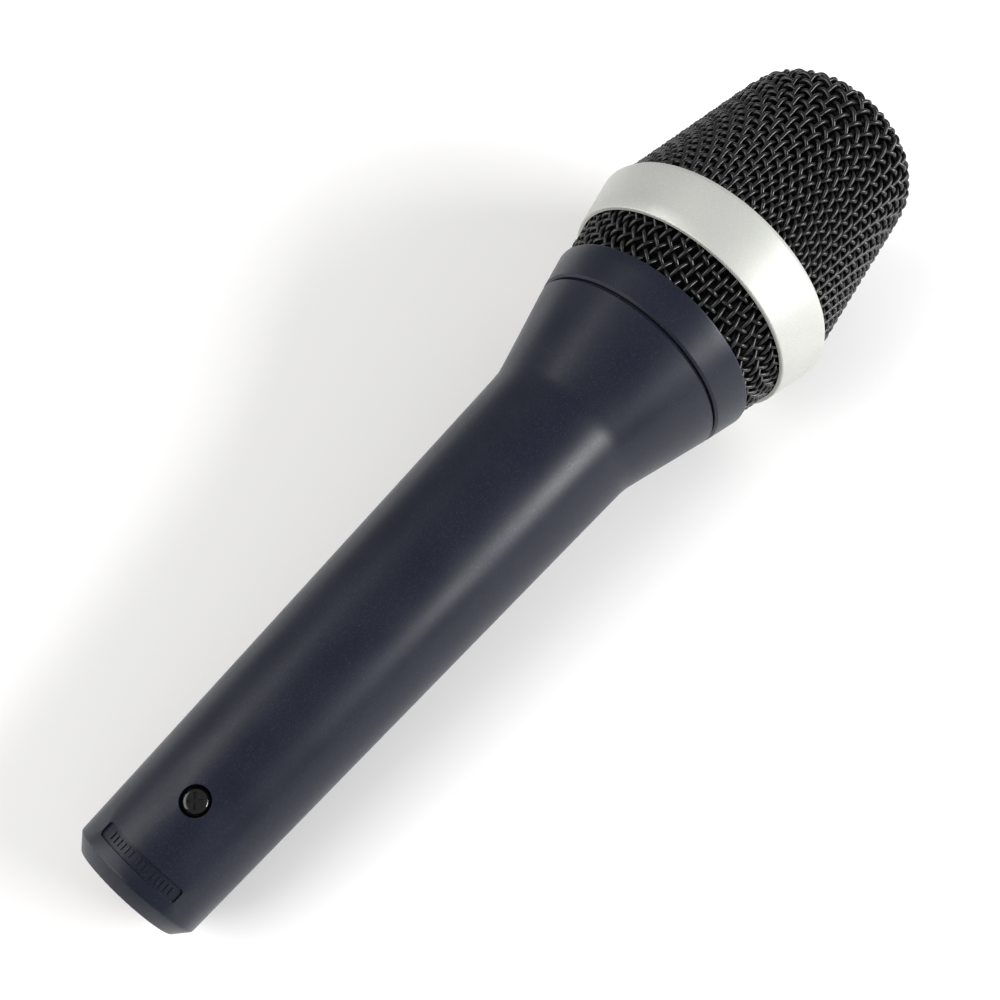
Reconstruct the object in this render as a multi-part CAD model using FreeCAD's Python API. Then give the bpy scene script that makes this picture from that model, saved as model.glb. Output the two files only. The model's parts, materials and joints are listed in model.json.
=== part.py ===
import FreeCAD, Part
import math
import os

from FreeCAD import Vector

# Handheld dynamic vocal microphone, all sizes in millimetres.
# Every piece is drawn about the microphone's own axis, which runs along X from the
# connector end (x = 0) to the top of the grille. The retaining screw looks along +Z.
# lay_down() then rolls it a little towards -Y and sets it on the floor, resting on the
# rim of its tail and on the edge of the grille band.

# ---- handle -----------------------------------------------------------------
handle_length = 119.8          # connector end to the seam under the screwed head
flare_length = 17.6            # cone under the seam
tail_radius = 11.45
neck_radius = 14.95
seam_radius = 19.9
handle_wall = 2.2
neck_blend = 12.0              # soft crease between grip and flare
tail_chamfer_length = 2.2
tail_chamfer_depth = 2.0
tail_round = 0.7               # rounding of the rim that the tail rests on
edge_break = 0.35
rest_roll = 10.8               # degrees from screw-up to how the microphone lies

# ---- head -------------------------------------------------------------------
seam_gap = 0.45
collar_length = 6.6            # painted collar above the seam gap
collar_top_radius = 21.7
lower_band = 7.7               # free height of mesh between collar and band
band_width = 9.9
band_bottom_radius = 23.4
band_top_radius = 25.5
band_wall = 0.7
band_bevel = 0.8
band_bevel_share = 0.45        # how far the bevel steps in
band_lower_round = 0.25
band_round = 0.3               # rounding of the edge that the head rests on
dome_height = 41.9             # top edge of the band to the crown
shoulder_radius = 19.75        # side line of the basket at shoulder_drop under the crown
shoulder_drop = 10.0
corner_radius = 7.0
crown_sag = 4.4                # height of the crown arc over the shoulder radius
mesh_thickness = 1.3           # two crossing wires
mesh_lip = 0.5                 # collar lip outside the mesh
collar_top_round = 0.35
mesh_tuck = 1.6                # depth that the mesh sits in its seats
liner_thickness = 2.6
liner_setback = 1.2            # collar's top to the foam's lower edge
liner_step = 0.4               # inner ring to the foam's step
seam_ring_setback = 2.9        # band's lower edge to the inner ring
seam_ring_height = 4.0
gasket_setback = 0.8           # washer's edge inside the seam
collar_land = 0.3              # extra width of the mesh's seat

# ---- screw thread between head and handle -------------------------------------
thread_core_radius = 17.5
thread_height = 0.6
thread_pitch = 1.5
thread_turns = 3.0
thread_base = 0.85             # ridge width at its root
thread_crest = 0.35            # ridge width at its crest
thread_clearance = 0.15
thread_bite = 0.08             # ridge root sunk in its cylinder
thread_start = 1.0             # seam to the first turn
spigot_length = 6.3            # threaded mouth of the handle above the seam

# ---- connector ----------------------------------------------------------------
socket_radius = 8.15           # bore that takes a cable connector
socket_depth = 13.5            # connector end to the face of the insert
insert_length = 15.5
insert_seat = 1.0              # shoulder that stops the insert
pin_circle_radius = 4.04
pin_radius = 1.2
pin_tip_round = 0.84
pin_shank_radius = 1.4         # thicker part held in the insert
pin_setback = 2.4              # pin tips sit this far inside the tail
cup_radius = 1.5
cup_bore = 0.95
cup_length = 6.0
cup_depth = 4.0
cup_standoff = 0.6             # insert to the solder cup
insert_chamfer = 0.5
counterbore_margin = 0.4       # round each contact, in the insert's face
counterbore_depth = 0.6
key_length = 3.0               # keyway in the insert's edge
key_width = 2.2
key_depth = 1.4
latch_station = 3.2            # window for the cable connector's latch
latch_length = 4.4
latch_width = 5.0
latch_depth = 0.8
spring_width = 2.4
spring_thickness = 0.4
spring_leg = 9.0               # length of the strip along the insert
spring_foot = 2.0              # its reach past the contact's centre
spring_sink = 0.48             # strip's face under the insert's rear face
spring_play = 0.2              # room on each side of it
spring_channel = 0.88          # depth of its channel along the insert
pin_angles = {"contact_pin_1": 30.0, "contact_pin_2": 150.0, "contact_pin_3": 270.0}

# ---- retaining screw and marking panel ------------------------------------------
screw_station = 16.8
screw_head_radius = 2.32
screw_head_height = 1.35
screw_recess_radius = 2.45
screw_recess_depth = 1.7
screw_thread_radius = 1.25
screw_reach = 1.5              # how far its tip goes into the insert
screw_tip_room = 0.2
screw_head_round = 1.1
cross_span = 2.6               # cross recess in the screw's head
cross_width = 0.55
cross_depth = 0.75
panel_start = 4.15
panel_width = 2.4
panel_half_angle = 41.0
panel_depth = 0.35
panel_corner = 0.7

# ---- capsule and its suspension --------------------------------------------------
mouth_wall = 2.5               # wall of the threaded mouth
mouth_depth = 14.0
carrier_wall = 1.6
carrier_round = 0.8
lead_passage = 4.6             # hole in its floor
cage_inset = 1.3               # cage's base inside the thread core
cage_base_width = 2.4
window_margin = 0.6            # cage's windows to base and hoop
cage_base_height = 1.8
cage_wall = 1.4
cage_height = 26.0             # spigot end to the top of the cage's hoop
hoop_height = 3.0
post_width = 4.0
head_clearance = 1.3           # cage to foam liner
rubber_width = 2.8             # front rubber between cage hoop and capsule
rubber_round = 0.3
lobe_radius = 1.15
lobe_count = 8
sleeve_half_height = 1.3       # front rubber's sleeve on the capsule
sleeve_wall = 0.8
tread_half_height = 1.1        # front rubber's outer ring in the hoop
tread_wall = 0.7
bead_width = 1.8               # rear rubber's outer bead
bead_height = 1.4
hub_wall = 1.3                 # rear rubber's sleeve on the stem
hub_setback = 1.6              # sleeve to the capsule's rear wall
web_rise = 1.6                 # rear rubber's web above the cage's base
web_thickness = 1.4
capsule_setback = 10.4         # spigot end to the capsule's rear wall
capsule_length = 22.0
capsule_wall = 1.4
stem_radius = 8.4
stem_length = 4.0
stem_wall = 1.6
port_radius = 0.9
port_count = 12
ledge_height = 1.2             # ledge under the yoke's flange
ledge_width = 1.2
yoke_setback = 6.0             # capsule's rear wall to the yoke
yoke_flange = 1.6
magnet_radius = 7.6
magnet_height = 4.6
yoke_floor = 1.6
pole_height = 3.3
magnetic_gap = 1.2
yoke_wall = 1.5
coil_wall = 0.5
coil_height = 4.0
diaphragm_thickness = 0.15
diaphragm_rise = 2.0
stroke_room = 0.4              # free space on each side of the diaphragm's rim
diaphragm_margin = 0.4         # rim to the housing's wall
roll_width = 1.0               # flat rim outside the surround
roll_height = 0.55
clamp_height = 1.4
clamp_width = 1.2
cover_thickness = 1.5
cover_rim = 1.2                # height of its rim round the felt
cover_rim_width = 1.4
cover_lip = 1.8
cover_hole_radius = 1.2
cover_small_hole_radius = 0.8
cover_hole_share = 0.45        # circles of holes, as shares of the plate
cover_small_hole_share = 0.72
screen_thickness = 0.3
screen_margin = 2.0
felt_thickness = 0.8
felt_play = 0.1
felt_bore_margin = 0.4
board_setback = 1.2            # board behind the capsule's rear wall
board_thickness = 1.0
lug_offset = 3.0               # each lug beside the axis
lug_width = 1.7
lug_thickness = 0.4
lug_tail = 2.8                 # blade behind the board
lug_head_width = 2.6
lug_head_height = 1.2
lug_play = 0.05
lead_diameter = 1.1
lead_bend_share = 0.45         # bends take this share of the shorter run beside them
foam_plug_length = 26.0
foam_plug_setback = 8.0        # neck to the foam
foam_plug_bore = 4.0
foam_round = 1.0

slide_clearance = 0.05         # rigid pieces seated in each other
soft_clearance = 0.25          # foam and rubber beside other pieces
face_gap = 0.02                # faces that meet along the axis
overrun = 1.0                  # how far a cut reaches past the material

# ---- stations along the axis -------------------------------------------------------
seam_x = handle_length
neck_x = seam_x - flare_length
collar_x = seam_x + seam_gap
collar_top_x = collar_x + collar_length
band_x = collar_top_x + lower_band
band_top_x = band_x + band_width
crown_x = band_top_x + dome_height
spigot_x = seam_x + spigot_length
insert_x = socket_depth
insert_end_x = insert_x + insert_length
cavity_x = insert_end_x + 4.0
capsule_x = spigot_x + capsule_setback
capsule_top_x = capsule_x + capsule_length
axis = Vector(1, 0, 0)
origin = Vector(0, 0, 0)
cup_x = insert_end_x + cup_standoff
cup_end_x = cup_x + cup_length
seam_ring_x = band_x + seam_ring_setback
seam_ring_top_x = seam_ring_x + seam_ring_height
board_x = capsule_x - board_setback
mouth_radius = thread_core_radius - mouth_wall
cavity_end_x = spigot_x - mouth_depth
foam_top_x = neck_x - foam_plug_setback
foam_low_x = foam_top_x - foam_plug_length


def unit(v):
    return Vector(v).normalize()


def rounded_edges(points, cuts, closed):
    """Edges through points; each corner is replaced by a tangent arc that starts cuts[i] before it."""
    count = len(points)
    stops = []
    for i, p in enumerate(points):
        inner = closed or 0 < i < count - 1
        if not inner or cuts[i] == 0:
            stops.append((p, None, p))
            continue
        back = unit(points[i - 1] - p)
        ahead = unit(points[(i + 1) % count] - p)
        half = back.getAngle(ahead) / 2
        radius = cuts[i] * math.tan(half)
        start = p + back * cuts[i]
        end = p + ahead * cuts[i]
        inward = unit(back + ahead)
        middle = p + inward * (radius / math.sin(half) - radius)
        stops.append((start, middle, end))
    edges = []
    for i, (start, middle, end) in enumerate(stops):
        if middle is not None:
            edges.append(Part.Arc(start, middle, end).toShape())
        if i == count - 1 and not closed:
            break
        following = stops[(i + 1) % count][0]
        if (following - end).Length > 1e-6:
            edges.append(Part.LineSegment(end, following).toShape())
    return edges


def turned(corners, angle=360.0):
    """Solid of revolution about the axis from (x, radius) corners; a third value rounds that corner."""
    points = [Vector(c[0], 0, c[1]) for c in corners]
    cuts = []
    for i, c in enumerate(corners):
        if len(c) < 3:
            cuts.append(0)
            continue
        back = unit(points[i - 1] - points[i])
        ahead = unit(points[(i + 1) % len(points)] - points[i])
        cuts.append(c[2] / math.tan(back.getAngle(ahead) / 2))
    wire = Part.Wire(rounded_edges(points, cuts, True))
    return tidy(Part.Face(wire).revolve(origin, axis, angle))


def tidy(shape):
    """The shape as one clean solid with a positive volume."""
    solid = shape.Solids[0] if shape.Solids else Part.Solid(shape.Shells[0])
    if solid.Volume < 0:
        solid.reverse()
    return solid


def ring(x_low, x_high, inner, outer):
    """Plain ring or, with inner 0, plain disc."""
    body = Part.makeCylinder(outer, x_high - x_low, Vector(x_low, 0, 0), axis)
    if inner > 0:
        body = body.cut(Part.makeCylinder(inner, x_high - x_low, Vector(x_low, 0, 0), axis))
    return body


def rod(x_low, x_high, radius, y=0.0, z=0.0):
    return Part.makeCylinder(radius, x_high - x_low, Vector(x_low, y, z), axis)


def turn_about_axis(shape, degrees):
    """A copy turned about the microphone's axis; 0 points up, positive goes towards -Y."""
    copy = shape.copy()
    copy.rotate(origin, axis, degrees)
    return copy


def around(shape, count, first=0.0):
    return [turn_about_axis(shape, first + 360.0 * i / count) for i in range(count)]


def line_at(x, low, high):
    """Radius at x on the line through two (x, radius) points."""
    share = (x - low[0]) / (high[0] - low[0])
    return low[1] + share * (high[1] - low[1])


def grip_radius(x):
    return line_at(x, (tail_chamfer_length, tail_radius), (neck_x, neck_radius))


def band_radius(x):
    return line_at(x, (band_x, band_bottom_radius), (band_top_x - band_bevel, band_top_radius))


def lower_mesh_radius(x):
    """Outer radius of the lower mesh: inside the collar's lip below, inside the band above."""
    low = (collar_top_x, collar_top_radius - mesh_lip)
    high = (band_x, band_bottom_radius - band_wall - slide_clearance)
    return line_at(x, low, high)


# ---- basket: side line, rounded corner and crown -------------------------------------
knee = (band_top_x - band_bevel / 2, band_radius(band_top_x - band_bevel) - band_wall - slide_clearance)
shoulder = (crown_x - shoulder_drop, shoulder_radius)
band_edge_radius = band_top_radius - band_bevel_share * band_bevel
crown_arc = (shoulder_radius ** 2 + crown_sag ** 2) / (2 * crown_sag)


def side_radius(x, inset):
    slope = (shoulder[1] - knee[1]) / (shoulder[0] - knee[0])
    return line_at(x, knee, shoulder) - inset * math.hypot(1, slope)


def under_band_radius(x, inset):
    """Basket wall that runs down inside the band, from the knee."""
    slope = (band_top_radius - band_bottom_radius) / (band_width - band_bevel)
    return knee[1] + (x - knee[0]) * slope - inset * math.hypot(1, slope)


def dome_edges(inset, foot):
    """Edges of the basket's outline, inset from its outer face, from (foot x, radius) up to the crown."""
    along = unit(Vector(shoulder[0] - knee[0], 0, shoulder[1] - knee[1]))
    out = Vector(-along.z, 0, along.x)
    crown_centre = Vector(crown_x - crown_arc, 0, 0)
    corner_start = Vector(knee[0], 0, knee[1]) - out * corner_radius
    reach = crown_arc - corner_radius
    offset = corner_start - crown_centre
    run = -offset.dot(along) + math.sqrt(offset.dot(along) ** 2 - offset.dot(offset) + reach ** 2)
    corner = corner_start + along * run
    radius = corner_radius - inset
    up = unit(corner - crown_centre)
    low_tangent = corner + out * radius
    middle = corner + unit(out + up) * radius
    high_tangent = corner + up * radius
    crown_radius = crown_arc - inset
    apex = crown_centre + axis * crown_radius
    crown_middle = crown_centre + unit(up + axis) * crown_radius
    slope_side = (side_radius(knee[0] + 1, inset) - side_radius(knee[0], inset))
    slope_under = (under_band_radius(knee[0] + 1, inset) - under_band_radius(knee[0], inset))
    gap = under_band_radius(knee[0], inset) - side_radius(knee[0], inset)
    bend_x = knee[0] + gap / (slope_side - slope_under)
    bend = Vector(bend_x, 0, side_radius(bend_x, inset))
    return [
        Part.LineSegment(foot, bend).toShape(),
        Part.LineSegment(bend, low_tangent).toShape(),
        Part.Arc(low_tangent, middle, high_tangent).toShape(),
        Part.Arc(high_tangent, crown_middle, apex).toShape(),
    ], apex


def dome_shell(outer_inset, inner_inset, outer_foot, inner_foot, below=()):
    """Shell of revolution between two insets of the basket; below holds corners under the inner foot."""
    outer, outer_apex = dome_edges(outer_inset, outer_foot)
    inner, inner_apex = dome_edges(inner_inset, inner_foot)
    stops = [inner_foot, *below, outer_foot]
    base = [Part.LineSegment(a, b).toShape() for a, b in zip(stops, stops[1:])]
    spine = Part.LineSegment(outer_apex, inner_apex).toShape()
    wire = Part.Wire(Part.__sortEdges__([*outer, spine, *inner, *base]))
    return tidy(Part.Face(wire).revolve(origin, axis, 360))


# ---- thread ridges -------------------------------------------------------------------
def thread_ridge(radius, outward, x_start, turns):
    """Helical ridge standing on a cylinder of that radius, rooted slightly in it."""
    sign = 1 if outward else -1
    root = radius - sign * thread_bite
    crest = radius + sign * thread_height
    corners = [
        Vector(root, 0, -thread_base / 2),
        Vector(crest, 0, -thread_crest / 2),
        Vector(crest, 0, thread_crest / 2),
        Vector(root, 0, thread_base / 2),
    ]
    profile = Part.makePolygon(corners + corners[:1])
    helix = Part.makeHelix(thread_pitch, thread_pitch * turns, radius)
    ridge = tidy(Part.Wire(helix).makePipeShell([profile], True, True))
    ridge.rotate(origin, Vector(0, 1, 0), 90)
    ridge.translate(Vector(x_start, 0, 0))
    return ridge


# ---- pieces of the handle --------------------------------------------------------------
def cavity_radius(x):
    """Radius of the hollow grip."""
    low = (cavity_x, grip_radius(cavity_x) - handle_wall)
    high = (cavity_end_x, min(neck_radius - handle_wall, mouth_radius - insert_seat))
    return line_at(x, low, high)


def handle_body():
    """Die-cast grip: tail socket, insert seat, hollow grip, flared mouth with a threaded spigot."""
    chamfer_radius = tail_radius - tail_chamfer_depth
    seat_radius = socket_radius - insert_seat
    corners = [
        (0, socket_radius + edge_break),
        (0, chamfer_radius, edge_break),
        (tail_chamfer_length, tail_radius, tail_round),
        (neck_x, neck_radius, neck_blend),
        (seam_x - edge_break, seam_radius - edge_break / 4),
        (seam_x, seam_radius - edge_break),
        (seam_x, thread_core_radius),
        (spigot_x - edge_break, thread_core_radius),
        (spigot_x, thread_core_radius - edge_break),
        (spigot_x, mouth_radius),
        (cavity_end_x, mouth_radius),
        (cavity_end_x, cavity_radius(cavity_end_x)),
        (cavity_x, cavity_radius(cavity_x)),
        (cavity_x, seat_radius),
        (insert_end_x, seat_radius),
        (insert_end_x, socket_radius),
        (edge_break, socket_radius),
    ]
    body = turned(corners)
    body = body.fuse(thread_ridge(thread_core_radius, True, seam_x + thread_start, thread_turns))
    screw_top = grip_radius(screw_station) + overrun
    recess_floor = grip_radius(screw_station) - screw_recess_depth
    recess = Part.makeCylinder(screw_recess_radius, screw_top, Vector(screw_station, 0, recess_floor))
    hole = Part.makeCylinder(screw_thread_radius + slide_clearance, screw_top, Vector(screw_station, 0, 0))
    latch_corner = Vector(latch_station, -latch_width / 2, -socket_radius - latch_depth)
    latch = Part.makeBox(latch_length, latch_width, latch_depth + overrun, latch_corner)
    for tool in (recess, hole, latch, panel_pocket()):
        body = body.cut(tool)
    return tidy(body)


def panel_pocket():
    """Shallow round-cornered pocket round the tail for the marking panel."""
    middle = panel_start + panel_width / 2
    floor = grip_radius(middle) - panel_depth
    top = floor + panel_depth + overrun
    corners = [
        Vector(panel_start, 0, floor),
        Vector(panel_start + panel_width, 0, floor),
        Vector(panel_start + panel_width, 0, top),
        Vector(panel_start, 0, top),
    ]
    face = Part.Face(Part.makePolygon(corners + corners[:1]))
    sector = tidy(face.revolve(origin, axis, 2 * panel_half_angle))
    sector = turn_about_axis(sector, -panel_half_angle)
    upright = [e for e in sector.Edges if isinstance(e.Curve, Part.Line) and abs(e.tangentAt(0).x) < 0.1]
    return sector.makeFillet(panel_corner, upright)


def connector_insert():
    """Insulating insert that carries the three contacts."""
    radius = socket_radius - slide_clearance
    body = turned([
        (insert_x, 0),
        (insert_x, radius - insert_chamfer),
        (insert_x + insert_chamfer, radius),
        (insert_end_x, radius),
        (insert_end_x, 0),
    ])
    for angle in pin_angles.values():
        y, z = pin_place(angle)
        body = body.cut(rod(insert_x, insert_end_x, pin_shank_radius + slide_clearance, y, z))
        counterbore_end = insert_x + counterbore_depth
        body = body.cut(rod(insert_x, counterbore_end, pin_shank_radius + counterbore_margin, y, z))
    hole_depth = screw_reach + screw_tip_room
    hole_floor = Vector(screw_station, 0, radius - hole_depth)
    hole = Part.makeCylinder(screw_thread_radius + slide_clearance, hole_depth + overrun, hole_floor)
    keyway_corner = Vector(insert_x, -key_width / 2, -radius - overrun)
    keyway = Part.makeBox(key_length, key_width, key_depth + overrun, keyway_corner)
    body = body.cut(hole).cut(keyway)
    return tidy(body.cut(turn_about_axis(spring_slot(), spring_angle())))


def pin_place(angle):
    return (
        pin_circle_radius * math.cos(math.radians(angle)),
        pin_circle_radius * math.sin(math.radians(angle)),
    )


def contact_pin(angle):
    """Turned contact: rounded tip, shank through the insert, solder cup behind it."""
    pin = turned([
        (pin_setback, 0),
        (pin_setback, pin_radius, pin_tip_round),
        (insert_x, pin_radius),
        (insert_x, pin_shank_radius),
        (cup_x, pin_shank_radius),
        (cup_x, cup_radius),
        (cup_end_x, cup_radius),
        (cup_end_x, cup_bore),
        (cup_end_x - cup_depth, cup_bore),
        (cup_end_x - cup_depth, 0),
    ])
    y, z = pin_place(angle)
    pin.translate(Vector(0, y, z))
    return pin


def spring_angle():
    """Turn about the axis that brings the ground spring from the top to beside the first contact."""
    return pin_angles["contact_pin_1"] - 90.0


def spring_slot():
    """Channel along the insert's side and across its rear face for the ground spring, at the top."""
    width = spring_width + 2 * spring_play
    length = spring_leg + spring_play
    side_corner = Vector(insert_end_x - length, -width / 2, socket_radius - spring_channel)
    side = Part.makeBox(length, width, spring_channel + overrun, side_corner)
    rear_x = insert_end_x - spring_sink - slide_clearance
    rear_corner = Vector(rear_x, -width / 2, pin_circle_radius - spring_foot - spring_play)
    rear = Part.makeBox(overrun, width, socket_radius, rear_corner)
    return side.fuse(rear)


def ground_spring():
    """Bent strip that joins the first contact to the handle."""
    top = math.sqrt((socket_radius - 2 * slide_clearance) ** 2 - (spring_width / 2) ** 2)
    bottom = pin_circle_radius - spring_foot
    face = insert_end_x - spring_sink
    leg_corner = Vector(face + spring_thickness - spring_leg, -spring_width / 2, top - spring_thickness)
    leg = Part.makeBox(spring_leg, spring_width, spring_thickness, leg_corner)
    foot_corner = Vector(face, -spring_width / 2, bottom)
    foot = Part.makeBox(spring_thickness, spring_width, top - bottom, foot_corner)
    eye_radius = pin_shank_radius + slide_clearance
    eye = rod(face - overrun, face + overrun, eye_radius, 0, pin_circle_radius)
    strip = leg.fuse(foot).removeSplitter().cut(eye)
    return turn_about_axis(tidy(strip), spring_angle())


def connector_screw():
    """Pan-head cross-recess screw that holds the insert."""
    seat = grip_radius(screw_station) - screw_recess_depth + face_gap
    tip = socket_radius - slide_clearance - screw_reach
    head_top = seat + screw_head_height
    shank = Part.makeCylinder(screw_thread_radius, seat - tip, Vector(0, 0, tip))
    profile = rounded_edges(
        [
            Vector(0, 0, seat),
            Vector(screw_head_radius, 0, seat),
            Vector(screw_head_radius, 0, head_top),
            Vector(0, 0, head_top),
        ],
        [0, 0, screw_head_round, 0],
        True,
    )
    head = tidy(Part.Face(Part.Wire(profile)).revolve(origin, Vector(0, 0, 1), 360))
    screw = shank.fuse(head)
    slot_corner = Vector(-cross_span / 2, -cross_width / 2, head_top - cross_depth)
    for turn in (45, 135):
        slot = Part.makeBox(cross_span, cross_width, cross_depth + overrun, slot_corner)
        slot.rotate(origin, Vector(0, 0, 1), turn)
        screw = screw.cut(slot)
    screw = tidy(screw.removeSplitter())
    screw.translate(Vector(screw_station, 0, 0))
    return screw


def seam_gasket():
    """Flat rubber washer on the handle's shoulder, seen as the dark line of the seam."""
    inner = thread_core_radius + slide_clearance
    return ring(seam_x + face_gap, collar_x - face_gap, inner, seam_radius - gasket_setback)


def foam_plug():
    """Foam in the hollow grip that quiets it and holds the leads."""
    return turned([
        (foam_low_x, foam_plug_bore),
        (foam_low_x, cavity_radius(foam_low_x) - soft_clearance, foam_round),
        (foam_top_x, cavity_radius(foam_top_x) - soft_clearance, foam_round),
        (foam_top_x, foam_plug_bore),
    ])


# ---- suspension ----------------------------------------------------------------------
hoop_x = spigot_x + cage_height - hoop_height
liner_inner = mesh_thickness + soft_clearance + liner_thickness
hoop_radius = side_radius(hoop_x + hoop_height, liner_inner) - head_clearance
cage_base_radius = thread_core_radius - cage_inset
cage_base_x = spigot_x + 2 * face_gap
cage_floor_x = cage_base_x + cage_base_height
capsule_radius = hoop_radius - cage_wall - rubber_width


def capsule_carrier():
    """Plastic cup pressed into the mouth; its floor lets the leads through."""
    outer = mouth_radius - slide_clearance
    low = cavity_end_x + slide_clearance
    cup = turned([
        (low, 0),
        (low, outer, carrier_round / 2),
        (spigot_x + face_gap, outer),
        (spigot_x + face_gap, outer - carrier_wall),
        (low + carrier_wall, outer - carrier_wall, carrier_round),
        (low + carrier_wall, 0),
    ])
    return tidy(cup.cut(rod(low, low + carrier_wall, lead_passage)))


def suspension_cage():
    """Base ring, four posts and a hoop that carry the capsule's rubber rings."""
    top_x = hoop_x + hoop_height
    inner_base = cage_base_radius - cage_base_width
    shell = turned([
        (cage_base_x, inner_base),
        (cage_base_x, cage_base_radius, rubber_round),
        (cage_floor_x, cage_base_radius),
        (hoop_x, hoop_radius),
        (top_x, hoop_radius, rubber_round),
        (top_x, hoop_radius - cage_wall, rubber_round),
        (hoop_x, hoop_radius - cage_wall),
        (cage_floor_x, cage_base_radius - cage_wall),
        (cage_floor_x, inner_base),
    ])
    window_low = cage_floor_x + window_margin
    window_length = hoop_x - window_margin - window_low
    reach = 2 * hoop_radius
    window_corner = Vector(window_low, post_width / 2, post_width / 2)
    window = Part.makeBox(window_length, reach, reach, window_corner)
    for cut in around(window, 4):
        shell = shell.cut(cut)
    return tidy(shell)


def rear_rubber():
    """Moulded diaphragm ring between the cage's base and the capsule's stem."""
    outer = cage_base_radius - cage_wall - soft_clearance
    bore = stem_radius + slide_clearance
    low = cage_floor_x + slide_clearance
    web = cage_floor_x + web_rise
    hub_end = capsule_x - hub_setback
    return turned([
        (low, outer - bead_width),
        (low, outer, rubber_round),
        (low + bead_height, outer, rubber_round),
        (web, outer - bead_width / 2, rubber_round),
        (web + web_thickness, bore + hub_wall, rubber_round),
        (hub_end, bore + hub_wall, rubber_round),
        (hub_end, bore),
        (web, bore),
        (web, bore + hub_wall, rubber_round),
    ])


def front_rubber():
    """Ring with round lobes between the hoop and the capsule."""
    inner = capsule_radius + slide_clearance
    outer = hoop_radius - cage_wall - slide_clearance
    middle = hoop_x + hoop_height / 2
    sleeve = turned([
        (middle - sleeve_half_height, inner),
        (middle - sleeve_half_height, inner + sleeve_wall, rubber_round),
        (middle + sleeve_half_height, inner + sleeve_wall, rubber_round),
        (middle + sleeve_half_height, inner),
    ])
    tread = ring(middle - tread_half_height, middle + tread_half_height, outer - tread_wall, outer)
    lobe_length = outer - inner - tread_wall
    lobe = Part.makeCylinder(lobe_radius, lobe_length, Vector(middle, 0, inner + sleeve_wall / 2))
    return tidy(sleeve.fuse([tread, *around(lobe, lobe_count, 180.0 / lobe_count)]))


# ---- capsule -------------------------------------------------------------------------
yoke_x = capsule_x + yoke_setback
magnet_x = yoke_x + yoke_floor
pole_x = magnet_x + magnet_height
gap_x = pole_x + pole_height
pole_radius = magnet_radius + 0.4
yoke_bore = pole_radius + magnetic_gap
flange_radius = capsule_radius - capsule_wall - slide_clearance
rim_x = gap_x + stroke_room + diaphragm_thickness / 2
coil_radius = pole_radius + (magnetic_gap - coil_wall) / 2
cover_x = capsule_top_x - cover_thickness
ledge_top_x = gap_x - yoke_flange


def capsule_housing():
    """Cup with a hollow stem behind it and a ring of rear sound ports."""
    inner = capsule_radius - capsule_wall
    stem_inner = stem_radius - stem_wall
    cup = turned([
        (capsule_x, stem_inner),
        (capsule_x - stem_length, stem_inner),
        (capsule_x - stem_length, stem_radius, 0.4),
        (capsule_x, stem_radius, 0.4),
        (capsule_x, capsule_radius, 1.2),
        (capsule_top_x, capsule_radius, 0.3),
        (capsule_top_x, inner),
        (capsule_x + capsule_wall, inner),
        (capsule_x + capsule_wall, stem_inner),
    ])
    port_place = (stem_radius + capsule_radius) / 2
    port = rod(capsule_x - overrun, capsule_x + capsule_wall + overrun, port_radius, 0, port_place)
    ledge_floor = ledge_top_x - ledge_height
    ledge = ring(ledge_floor, ledge_top_x - face_gap, flange_radius - ledge_width, inner + slide_clearance)
    return tidy(cup.cut(Part.Compound(around(port, port_count))).fuse(ledge).removeSplitter())


def magnet_yoke():
    """Steel pot with a flange that seats on the housing's ledge."""
    outer = yoke_bore + yoke_wall
    return turned([
        (yoke_x, 0),
        (yoke_x, outer, 0.5),
        (ledge_top_x, outer),
        (ledge_top_x, flange_radius),
        (gap_x, flange_radius),
        (gap_x, yoke_bore),
        (magnet_x, yoke_bore),
        (magnet_x, 0),
    ])


def diaphragm():
    """Thin dome with a corrugated surround; its rim floats between flange and clamp ring."""
    half = diaphragm_thickness / 2
    rim = flange_radius - diaphragm_margin
    foot = coil_radius + coil_wall / 2
    sphere = (foot ** 2 + diaphragm_rise ** 2) / (2 * diaphragm_rise)
    centre = rim_x + diaphragm_rise - sphere
    edges = []
    ends = []
    for side in (half, -half):
        radius = sphere + side
        start_angle = math.asin(foot / sphere)
        apex = Vector(centre + radius, 0, 0)
        middle = Vector(centre + radius * math.cos(start_angle / 2), 0, radius * math.sin(start_angle / 2))
        low = Vector(centre + radius * math.cos(start_angle), 0, radius * math.sin(start_angle))
        roll_end = Vector(rim_x + side, 0, rim - roll_width)
        roll_middle = Vector(rim_x + side + roll_height, 0, (low.z + roll_end.z) / 2)
        edges.append(Part.Arc(apex, middle, low).toShape())
        edges.append(Part.Arc(low, roll_middle, roll_end).toShape())
        edges.append(Part.LineSegment(roll_end, Vector(rim_x + side, 0, rim)).toShape())
        ends.append((apex, Vector(rim_x + side, 0, rim)))
    edges.append(Part.LineSegment(ends[0][0], ends[1][0]).toShape())
    edges.append(Part.LineSegment(ends[0][1], ends[1][1]).toShape())
    wire = Part.Wire(Part.__sortEdges__(edges))
    return tidy(Part.Face(wire).revolve(origin, axis, 360))


def voice_coil():
    top = rim_x - diaphragm_thickness / 2 - face_gap
    return ring(top - coil_height, top, coil_radius, coil_radius + coil_wall)


def diaphragm_ring():
    """Ring that clamps the diaphragm's rim, with room for its stroke in front."""
    low = rim_x + diaphragm_thickness / 2 + stroke_room
    return ring(low, low + clamp_height, flange_radius - clamp_width, flange_radius)


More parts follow.
